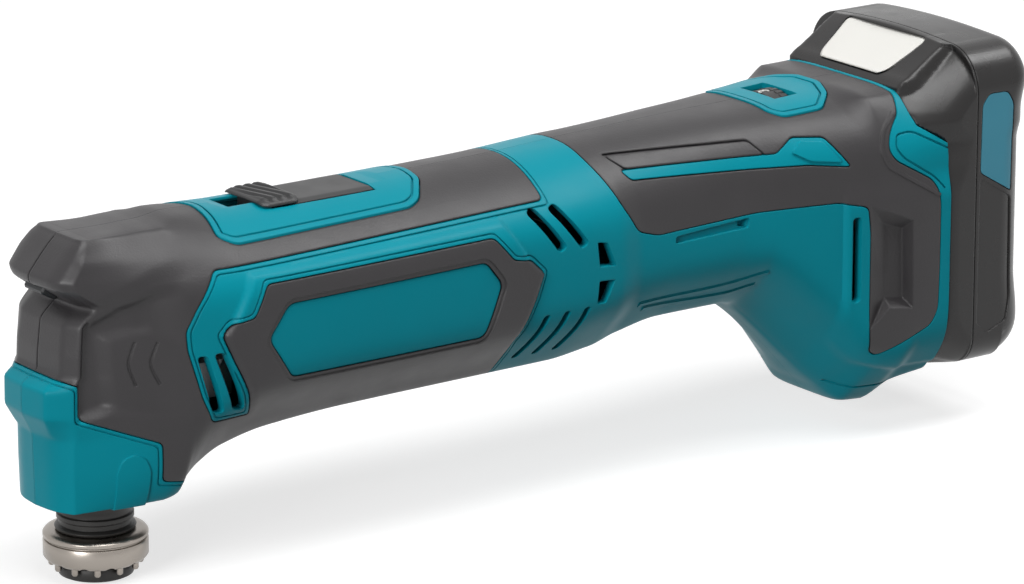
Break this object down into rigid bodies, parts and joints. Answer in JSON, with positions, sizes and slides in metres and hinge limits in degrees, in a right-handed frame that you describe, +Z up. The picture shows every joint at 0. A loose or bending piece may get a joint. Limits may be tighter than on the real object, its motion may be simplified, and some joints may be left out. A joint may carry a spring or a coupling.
{
  "type": "oscillating multi tool",
  "caption": "Cordless oscillating multi tool with a slim body, soft grips, a slide switch on top, a speed dial, a pinned accessory holder under the nose and a slide-on battery.",
  "frame": {"origin": "under the middle of the tool's length, on the middle plane, at the height of the holder bolt's lower face, which is the lowest point", "axes": "+X runs to the rear, towards the battery; +Y is the tool's right side; +Z is up, away from the accessory seat"},
  "size_m": [0.271, 0.064, 0.0962],
  "materials": {
    "teal_plastic": "fine moulded texture, half matt",
    "grip_rubber": "matt soft-touch rubber",
    "black_plastic": "half matt moulded plastic",
    "battery_plastic": "half matt moulded plastic",
    "white_plastic": "smooth off-white plastic",
    "bright_steel": "ground bright",
    "satin_nickel": "satin nickel plate on steel",
    "black_steel": "black oxide",
    "cast_aluminium": "as cast",
    "copper": "plain copper",
    "ferrite": "pressed ferrite",
    "cell_wrap": "plastic wrap over a metal can",
    "circuit_board": "green solder mask",
    "clear_lens": "clear polished plastic"
  },
  "bodies": {
    "housing": {"left_housing": "teal_plastic", "right_housing": "teal_plastic", "housing_screw_1": "black_steel", "housing_screw_2": "black_steel", "housing_screw_3": "black_steel", "housing_screw_4": "black_steel", "housing_screw_5": "black_steel", "housing_screw_6": "black_steel", "housing_screw_7": "black_steel", "housing_screw_8": "black_steel", "left_front_grip": "grip_rubber", "right_front_grip": "grip_rubber", "left_side_plate": "teal_plastic", "right_side_plate": "teal_plastic", "left_rear_grip": "grip_rubber", "right_rear_grip": "grip_rubber", "left_inlay": "teal_plastic", "right_inlay": "teal_plastic", "switch_bezel": "teal_plastic", "dial_bezel": "teal_plastic", "work_light_lens": "clear_lens", "gear_case": "cast_aluminium", "spindle_lower_bearing": "bright_steel", "spindle_upper_bearing": "bright_steel", "dust_seal": "grip_rubber", "motor_can": "bright_steel", "motor_magnet_upper": "ferrite", "motor_magnet_lower": "ferrite", "motor_end_cap": "black_plastic", "rotor_front_bearing": "bright_steel", "rotor_rear_bearing": "bright_steel", "switch_unit": "black_plastic", "control_module": "circuit_board", "battery_rail": "black_plastic", "left_terminal": "copper", "right_terminal": "copper"},
    "spindle": {"spindle": "bright_steel", "swing_arm": "black_steel", "holder_flange": "satin_nickel", "spindle_collar": "black_steel", "holder_bolt": "black_steel"},
    "rotor": {"rotor_shaft": "bright_steel", "eccentric_bearing": "bright_steel", "rotor_core": "copper", "commutator": "copper", "cooling_fan": "black_plastic"},
    "switch": {"switch_knob": "black_plastic", "switch_rod": "black_plastic"},
    "dial": {"speed_dial": "black_plastic"},
    "battery": {"battery_front_case": "battery_plastic", "battery_rear_case": "battery_plastic", "battery_cell_1": "cell_wrap", "battery_cell_2": "cell_wrap", "battery_cell_3": "cell_wrap", "battery_board": "circuit_board", "left_battery_clip": "copper", "right_battery_clip": "copper"},
    "battery_button": {"release_button": "white_plastic"}
  },
  "joints": [
    {"name": "spindle_oscillation", "type": "hinge", "parent": "housing", "child": "spindle", "pos_m": [-0.11735, 0, 0.0039], "axis": [0, 0, 1], "range_deg": [-1.6, 1.6]},
    {"name": "rotor_spin", "type": "hinge", "parent": "housing", "child": "rotor", "pos_m": [-0.11735, 0, 0.0569], "axis": [1, 0, 0], "continuous": true},
    {"name": "switch_slide", "type": "slide", "parent": "housing", "child": "switch", "axis": [-1, 0, 0], "range_m": [0, 0.006]},
    {"name": "speed_dial_turn", "type": "hinge", "parent": "housing", "child": "dial", "pos_m": [0.07665, 0, 0.07333], "axis": [1, 0, 0], "range_deg": [-135, 135]},
    {"name": "battery_slide", "type": "slide", "parent": "housing", "child": "battery", "axis": [0, 0, 1], "range_m": [0, 0.08]},
    {"name": "battery_button_press", "type": "slide", "parent": "battery", "child": "battery_button", "axis": [1, 0, 0], "range_m": [0, 0.002], "stiffness_N_per_m": 900}
  ]
}
